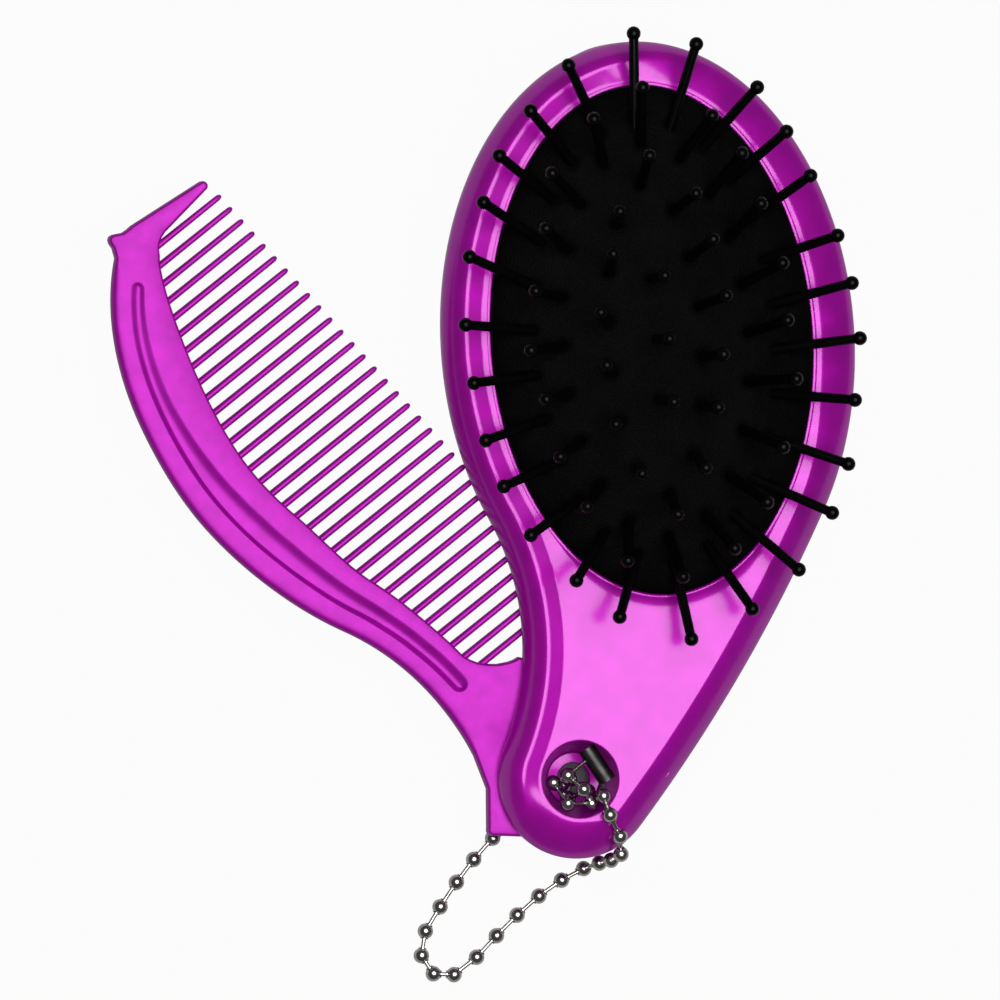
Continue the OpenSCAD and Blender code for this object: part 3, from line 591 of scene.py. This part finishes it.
for k in range(tooth_count):
    y_tip = first_tooth_y - k * tooth_pitch
    x0 = 0
    for _ in range(3):
        x0 = root_x(y_tip + (tip_x - x0) * lean)
    x0 -= root_sunk
    length = (tip_x - x0) / math.cos(tooth_slope)
    way = Vector((math.cos(tooth_slope), -math.sin(tooth_slope), 0))
    across = Vector((-way.y, way.x, 0))
    start = Vector((x0, y_tip + (tip_x - x0) * lean, comb_mid))
    # Distance from the root, width and thickness
    rows = [(0, 0.86, 1.9), (length * 0.5, 0.79, 1.4), (length - 1.2, 0.73, 1.0), (length - 0.4, 0.7, 0.88),
            (length - 0.12, 0.5, 0.62), (length, 0.22, 0.3)]

    def tooth_at(row):
        reach, wide, thick = row
        def place(i):
            g = math.tau * i / tooth_n
            c, s = math.cos(g), math.sin(g)
            rise = Vector((0, 0, thick / 2 * math.copysign(abs(s) ** 0.6, s)))
            return start + way * reach + across * (wide / 2 * c) + rise
        return place

    root_ring = first_ring(bm, tooth_n, tooth_at(rows[0]))
    tip_ring = run_rings(bm, root_ring, [tooth_at(row) for row in rows[1:]])
    for ring in (root_ring, tip_ring):
        bmesh.ops.holes_fill(bm, edges=ring, sides=tooth_n)
bmesh.ops.recalc_face_normals(bm, faces=bm.faces)
bmesh.ops.rotate(bm, cent=(0, 0, 0), matrix=Matrix.Rotation(open_angle, 3, "Z"), verts=bm.verts)
comb_lacquer = finish_of("comb_lacquer", ((0.38, 0.002, 0.36), (0.465, 0.003, 0.435)),
                         roughness=(0.38, 0.48), scale=520, depth=0.00001, fine_scale=5200,
                         Metallic=0.34, Specular_IOR_Level=0.3)
comb = make_piece("comb_moulding", bm, comb_lacquer, "comb", smooth=38)
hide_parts("comb")

# ---------------------------------------------------------------- front shell
# The same lacquered moulding: rim, panel with an oval opening and its rolled lip, and the barrel,
# which the comb turns on and whose funnel shows as a round hole in the handle.
panel_z, ceiling_z = 11.3, 10.0
pad_a, pad_b = 19.6, 30.7
lip_h = 0.45

# Along the comb's side the rim stands up in a crest with a gentle slope inside it. Round the rest of
# the head it is a wide shoulder, and along the handle a narrow one that starts with a crisp line.
# Each section is given by bend_n + 1 steps: distance in from the edge, and depth below the crest.
rim_top, panel_depth, rise, bend_n = 11.7, 0.4, 3.2, 24
crest_n, crest_w, crest_slope_w, crest_flat = 12, 2.55, 2.0, 0.12
wide_w, wide_bow, wide_turn, wide_versine, wide_sine = 4.55, 0.8, 72, 0.691, 0.951
flank_w, end_w = 3.65, 4.5


def crest_step(j):
    """Step j of the crest: a soft round up to the top, then a gentle slope down to the panel."""
    if j <= crest_n:
        g = math.radians(90 * j / crest_n)
        return Vector((crest_w * (1 - max(0, math.cos(g)) ** 1.4), rise * (1 - math.sin(g) ** 1.4)))
    u = (j - crest_n) / (bend_n - crest_n)
    return Vector((crest_w + crest_slope_w * u, panel_depth * max(0, u - crest_flat) / (1 - crest_flat)))


def wide_step(j):
    """Step j of the wide shoulder: a round that stops short of level, mixed with its chord."""
    g = math.radians(wide_turn * j / bend_n)
    way = (1 - math.cos(g)) / wide_versine
    climbed = wide_bow * math.sin(g) / wide_sine + (1 - wide_bow) * way
    return Vector((wide_w * way, panel_depth + rise * (1 - climbed)))


def crisp_step(j, reach):
    """Step j of the narrow shoulder, which starts with a crisp line at the panel."""
    g = math.radians(90 * j / bend_n)
    return Vector((reach * (1 - max(0, math.cos(g)) ** 1.5), panel_depth + rise * (1 - math.sin(g) ** 1.5)))


# Each station's shares of the crest and the wide shoulder, and the narrow one's width. A change
# starts at one angle, in degrees, and runs over the number of degrees that it is divided by.
rim_shares = []
for i in range(len(stations)):
    crest, wide, reach = 0, 0, flank_w
    if i < head_n:
        t = head_angle(i)
        crest, wide = ease((t - 58) / 48), ease((t + 37.5) / 30)
    elif i < head_n + neck_n:
        crest = 1
    elif i < head_n + neck_n + end_n:
        g = end_from + (end_to - end_from) * (i - head_n - neck_n) / end_n
        crest, reach = 1 - ease((g - 172) / 62), end_w - (end_w - flank_w) * ease((g - 270) / 49)
    rim_shares.append((crest, wide, reach))


def front_rim_at(j, flat=0.0):
    """Corner places on the rim's step j, or on a strip of the panel beside it."""
    def place(i):
        p, out = stations[i]
        crest, wide, reach = rim_shares[i]
        d, depth = crisp_step(j, reach).lerp(wide_step(j), wide).lerp(crest_step(j), crest)
        d += flat
        return (p.x - d * out.x, p.y - d * out.y, rim_top - depth)
    return place


bm = bmesh.new()
base_ring = first_ring(bm, len(stations), edge_at(0, split_z))
panel_ring = run_rings(bm, base_ring, [front_rim_at(j) for j in range(bend_n + 1)])
panel_ring = next_ring(bm, panel_ring, front_rim_at(bend_n, 0.1))
inner_section = [(wall, split_z), (wall, 8.6), (1.7, 9.3), (2.6, ceiling_z)]
inner_ring = run_rings(bm, base_ring, [edge_at(d, z) for d, z in inner_section])


# The lip's crest, its fillet and its height, with what the last two gain at the opening's low end
lip_w, fillet_w, fillet_gain, lip_rise, lip_gain = 0.33, 0.22, 1.5, 0.05, 0.37


def lip_at(u, share):
    """The lip's section: u runs out from its top along the fillet, which is wide only below."""
    def place(i):
        t = math.tau * i / oval_n
        low = ease((-math.sin(t) - 0.72) / 0.22)
        d = lip_w + (fillet_w + fillet_gain * low) * u if u >= 0 else lip_w * (1 + u)
        p = oval_point(pad_a + d, pad_b + d, t)
        return (p.x, p.y, panel_z + (lip_rise + lip_gain * low) * share)
    return place


lip_foot = first_ring(bm, oval_n, lip_at(1.1, 0))
lip_in = run_rings(bm, lip_foot, [lip_at(u, (1 - u) ** 2) for u in (1, 0.8, 0.6, 0.4, 0.25, 0.12, 0)])
lip_in = run_rings(bm, lip_in, [lip_at(u, share) for u, share in (
    (-0.3, 0.97), (-0.6, 0.85), (-0.85, 0.55), (-1, 0), (-1, -2))])
lip_in = next_ring(bm, lip_in, oval_at(pad_a, pad_b, ceiling_z))
# Radius and height down the funnel, under the barrel's foot and up to the ceiling
mouth = first_ring(bm, hinge_n, circle_at(4.9, panel_z))
mouth_steps = [(4.8, panel_z), (4.7, 11.27), (4.62, 11.17), (4.6, 11.0), (4.6, 10.5), (3.35, 6.05),
               (3.35, 3.65), (5.5, 3.65), (5.5, 7.45), (7.4, 7.45), (7.4, ceiling_z)]
collar = run_rings(bm, mouth, [circle_at(r, z) for r, z in mouth_steps])
fill_flat(bm, panel_ring, lip_foot, mouth)
fill_flat(bm, inner_ring, lip_in, collar)
bmesh.ops.remove_doubles(bm, verts=bm.verts, dist=0.0005)
for seat in peg_seats:
    add_post(bm, seat, boss_r, split_z + 0.05, boss_top)
    add_post(bm, seat, peg_r, slot_z + 0.05, split_z + 0.1)
bmesh.ops.recalc_face_normals(bm, faces=bm.faces)
front_shell = make_piece("front_shell_moulding", bm, magenta, "brush", smooth=40)
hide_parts("front_shell")

# ---------------------------------------------------------------- cushion
# Moulded black rubber over an air space, held by its flange between the front shell and a plate.
# The skin is puckered round each pin and has the fine grain of a blasted mould.
black_plate = finish_of("black_plate", ((0.012, 0.012, 0.014), (0.02, 0.02, 0.022)), roughness=(0.35, 0.5),
                        scale=700, depth=0.00001, fine_scale=4000)
nodes["cushion_base"].data.materials.clear()
nodes["cushion_base"].data.materials.append(black_plate)
edge_z, dome_h = panel_z + lip_h, 3.4


def dome_z(r):
    """Height of the crown at share r of the way from its middle to its edge."""
    return edge_z + dome_h * max(0, 1 - r * r) ** 0.62


def ring_angles(a, b, n, turn_by):
    """Angles that share an oval's length equally, from its top round to the right."""
    parts = 120
    table = [(0.0, 90.0)]
    for i in range(parts):
        g = math.radians(90 - 360 * (i + 0.5) / parts)
        run = table[-1][0] + math.hypot(a * math.sin(g), b * math.cos(g))
        table.append((run, 90 - 360 * (i + 1) / parts))
    angles = []
    for i in range(n):
        s = ((i + turn_by) % n) / n * table[-1][0]
        for (s0, g0), (s1, g1) in zip(table, table[1:]):
            if s0 <= s <= s1:
                angles.append(math.radians(g0 + (g1 - g0) * (s - s0) / (s1 - s0)))
                break
    return angles


pin_len = 10.2
# Each ring's count, how far its pins' roots and balls stand in from the opening, and its turn
rings = {"pins_outer": (26, (4.6, 3.8), (-4.1, -5.2), 25.9), "pins_second": (20, (8.3, 6.9), (4, 1.4), 0),
         "pins_third": (14, (14, 12), (12.3, 10), 13.9)}
# Each pin leans its own way: degrees round its ring, and millimetres outwards
leans = {
    "pins_outer": [
        (-1.5, 1.0), (-1.5, 0.8), (-4.0, 0.2), (-1.4, -0.8), (0.6, -1.0), (-0.9, -0.4), (1.1, 0.2),
        (2.1, 0.6), (1.9, 0), (1.6, 0.8), (3.9, 0.8), (3.2, 0.6), (2.9, -0.2), (1.4, 0.4), (-3.9, -1.0),
        (-3.3, -1.6), (-4.6, -0.8), (-3.6, -0.6), (-1.4, -0.4), (-1.1, -0.4), (-0.8, 0), (-2.3, 0),
        (-1.6, -0.2), (0.8, 0), (2.1, -0.4), (2.5, 0.2)],
    "pins_second": [
        (1.6, 1.0), (-3.2, 0.5), (1.4, 0.2), (3.4, -0.7), (2.0, -0.4), (2.4, -0.9), (2.6, 0), (0, -0.6),
        (0.6, -0.4), (1.0, -0.8), (0, -0.7), (-0.6, -0.3), (-3.2, -0.6), (-2.4, 0), (-2.0, -0.1),
        (0.4, 0.9), (0.8, 0.3), (0, 0), (2.6, 1.2), (0.2, 0.4)],
    "pins_third": [
        (-1.2, 1.4), (-0.6, 0.5), (2.8, 0.2), (1.8, 0.2), (0.6, -0.8), (0.2, -1.3), (-5.6, -1.4),
        (-7.6, 0.4), (-3.4, -0.3), (-3.6, 0.7), (-4.0, 0.5), (-2.6, 0.8), (-4.8, -0.3), (0, 0)]}
# The middle row's spacing at the roots and at the balls
middle_roots, middle_balls = 7.3, 7.6

# Each pin is its root on the cushion's crown and the middle of its ball
pins = {}
for name, (n, root_in, ball_in, turn_by) in rings.items():
    pins[name] = []
    angles = ring_angles(pad_a - ball_in[0], pad_b - ball_in[1], n, turn_by)
    for t, (sway, out) in zip(angles, leans[name]):
        root = oval_point(pad_a - root_in[0], pad_b - root_in[1], t)
        tip = oval_point(pad_a - ball_in[0] + out, pad_b - ball_in[1] + out, t + math.radians(sway))
        z = dome_z(math.hypot((root.x - head_mid.x) / pad_a, (root.y - head_mid.y) / pad_b))
        height = math.sqrt(pin_len ** 2 - (tip - root).length ** 2)
        pins[name].append((Vector((*root, z)), Vector((*tip, z + height))))
pins["pins_centre"] = []
for i in (-1, 0, 1):
    z = dome_z(middle_roots * abs(i) / pad_b)
    root = head_mid + Vector((0, middle_roots * i))
    tip = head_mid + Vector((0, middle_balls * i))
    pins["pins_centre"].append((Vector((*root, z)), Vector((*tip, z + pin_len))))
pin_roots = [root for row in pins.values() for root, tip in row]

# The grain is a bump of close round pebbles, and only their tops catch the light
rubber = finish_of("black_rubber", ((0.0014, 0.0014, 0.0016), (0.0026, 0.0026, 0.0030)),
                   roughness=(0.4, 0.52), scale=260, depth=0.00001, fine_scale=7000,
                   Specular_IOR_Level=0.015)
tree = rubber.node_tree
place = tree.nodes.new("ShaderNodeTexCoord")
pebble = tree.nodes.new("ShaderNodeTexVoronoi")
pebble.inputs["Scale"].default_value = 4600
grain = tree.nodes.new("ShaderNodeBump")
grain.inputs["Distance"].default_value = 0.00006
grain.invert = True
tree.links.new(place.outputs["Object"], pebble.inputs["Vector"])
tree.links.new(pebble.outputs["Distance"], grain.inputs["Height"])
tree.links.new(grain.outputs["Normal"], tree.nodes["Principled BSDF"].inputs["Normal"])
cushion_n, crown_n = 300, 70
pad_gap, flange_z, flange_top, flange_w, flange_in, skirt_top = 0.1, 9.1, 9.9, 0.95, 1.1, 11.5
raised_r, raised_w, raised_h, dimple_w, dimple_h = 1.35, 0.35, 0.10, 0.8, 0.34


def cushion_at(r, z=None, grow=0.0):
    """Corner places at share r of the way out, on the puckered crown or at height z."""
    def place(i):
        p = oval_point((pad_a - pad_gap) * r + grow, (pad_b - pad_gap) * r + grow, math.tau * i / cushion_n)
        h = dome_z(r) if z is None else z
        if z is None:
            for root in pin_roots:
                d = (p - root.xy).length
                if d < raised_r + 3 * raised_w:
                    raised, dimple = (d - raised_r) / raised_w, d / dimple_w
                    h += raised_h * math.exp(-raised ** 2) - dimple_h * math.exp(-dimple ** 2)
        return (p.x, p.y, h)
    return place


bm = bmesh.new()
skirt = first_ring(bm, cushion_n, cushion_at(1, flange_z, flange_w))
skirt_in = next_ring(bm, skirt, cushion_at(1, flange_z, -flange_in))
bmesh.ops.triangle_fill(bm, use_beauty=True, edges=skirt_in, normal=(0, 0, -1))
crown = run_rings(bm, skirt, [cushion_at(1, flange_top, flange_w), cushion_at(1, flange_top),
                              cushion_at(1, skirt_top)])
crown_shares = [math.cos(math.pi / 2 * j / crown_n) ** 0.8 for j in range(1, crown_n)]
crown = run_rings(bm, crown, [cushion_at(r) for r in crown_shares])
bmesh.ops.holes_fill(bm, edges=crown, sides=cushion_n)
bmesh.ops.recalc_face_normals(bm, faces=bm.faces)
cushion = make_piece("rubber_cushion", bm, rubber, "brush", smooth=60)
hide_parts("cushion")

# ---------------------------------------------------------------- bristle pins
# Black nylon pins with balls moulded on their tips. They stand in three ovals and a middle row,
# and the outer ones lean outwards over the rim.
nylon = finish_of("black_nylon", ((0.0010, 0.0010, 0.0012), (0.0020, 0.0020, 0.0023)),
                  roughness=(0.2, 0.3), scale=900, depth=0.000006, fine_scale=5000,
                  Specular_IOR_Level=0.09)
pin_sunk, pin_foot_r, pin_neck_r, pin_ball_r = 1.6, 0.64, 0.58, 0.86
for name, row in pins.items():
    bm = bmesh.new()
    for root, tip in row:
        foot = root + (root - tip).normalized() * pin_sunk
        bmesh.ops.create_cone(bm, cap_ends=True, segments=18, radius1=pin_foot_r, radius2=pin_neck_r,
                              depth=(tip - foot).length, matrix=along(foot, tip))
        bmesh.ops.create_uvsphere(bm, u_segments=20, v_segments=14, radius=pin_ball_r,
                                  matrix=Matrix.Translation(tip) @ along(foot, tip).to_3x3().to_4x4())
    piece = make_piece(name + "_nylon", bm, nylon, "brush", smooth=50)
    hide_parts(name)

# ---------------------------------------------------------------- table and lights
# White table under one large softbox straight overhead, in a dark room. Table and room glow for the
# camera and hardly in reflections, so the ground is evenly white while the lacquer keeps its depth.
bm = bmesh.new()
bmesh.ops.create_grid(bm, x_segments=1, y_segments=1, size=1.5)
floor_mesh = bpy.data.meshes.new("table_top")
bm.to_mesh(floor_mesh)
bm.free()
table_top = bpy.data.objects.new("table_top", floor_mesh)
bpy.context.scene.collection.objects.link(table_top)
paper = bpy.data.materials.new("white_table")
paper.use_nodes = True
tree = paper.node_tree
shader = tree.nodes["Principled BSDF"]
shader.inputs["Base Color"].default_value = (0.35, 0.35, 0.35, 1)
shader.inputs["Roughness"].default_value = 0.9
rays = tree.nodes.new("ShaderNodeLightPath")
glow = tree.nodes.new("ShaderNodeEmission")
blend = tree.nodes.new("ShaderNodeMixShader")


def weigh(tree, value, weight):
    """Times node that gives a ray kind its share of the backdrop's glow."""
    times = tree.nodes.new("ShaderNodeMath")
    times.operation = "MULTIPLY"
    times.inputs[1].default_value = weight
    tree.links.new(value, times.inputs[0])
    return times.outputs["Value"]


def glow_share(tree, rays, seen, glossy, through):
    """Adds up the glow's shares for camera rays, glossy rays and rays that pass through."""
    kinds = (("Is Camera Ray", seen), ("Is Glossy Ray", glossy), ("Is Transmission Ray", through))
    values = [weigh(tree, rays.outputs[kind], weight) for kind, weight in kinds]
    total = values[0]
    for value in values[1:]:
        plus = tree.nodes.new("ShaderNodeMath")
        plus.operation = "ADD"
        tree.links.new(total, plus.inputs[0])
        tree.links.new(value, plus.inputs[1])
        total = plus.outputs["Value"]
    return total


# The table glows for the camera, a little in the metal, and stays dark down the hinge's bore
share = glow_share(tree, rays, seen=0.96, glossy=0.25, through=0.96)
spot = tree.nodes.new("ShaderNodeTexCoord")
reach = tree.nodes.new("ShaderNodeVectorMath")
reach.operation = "LENGTH"
clear = tree.nodes.new("ShaderNodeMapRange")
clear.inputs["From Min"].default_value = 0.005
clear.inputs["From Max"].default_value = 0.0065
masked = tree.nodes.new("ShaderNodeMath")
masked.operation = "MULTIPLY"
tree.links.new(spot.outputs["Object"], reach.inputs[0])
tree.links.new(reach.outputs["Value"], clear.inputs["Value"])
tree.links.new(clear.outputs["Result"], masked.inputs[0])
tree.links.new(share, masked.inputs[1])
tree.links.new(masked.outputs["Value"], blend.inputs["Fac"])
tree.links.new(shader.outputs["BSDF"], blend.inputs[1])
tree.links.new(glow.outputs["Emission"], blend.inputs[2])
tree.links.new(blend.outputs["Shader"], tree.nodes["Material Output"].inputs["Surface"])
floor_mesh.materials.append(paper)

softbox = bpy.data.lights.new("softbox", "AREA")
softbox.shape = "DISK"
softbox.size = 0.72
softbox.energy = 6.4
lamp = bpy.data.objects.new("softbox", softbox)
lamp.location = (0.035, 0.1, 0.8)
lamp.visible_camera = False
bpy.context.scene.collection.objects.link(lamp)

room = bpy.data.worlds.new("dark_room")
room.use_nodes = True
bpy.context.scene.world = room
tree = room.node_tree
backdrop = tree.nodes["Background"]
rays = tree.nodes.new("ShaderNodeLightPath")
base = tree.nodes.new("ShaderNodeMath")
base.operation = "ADD"
base.inputs[1].default_value = 0.025
tree.links.new(glow_share(tree, rays, seen=0.97, glossy=0.05, through=0.97), base.inputs[0])
tree.links.new(base.outputs["Value"], backdrop.inputs["Strength"])
backdrop.inputs["Color"].default_value = (1, 1, 1, 1)
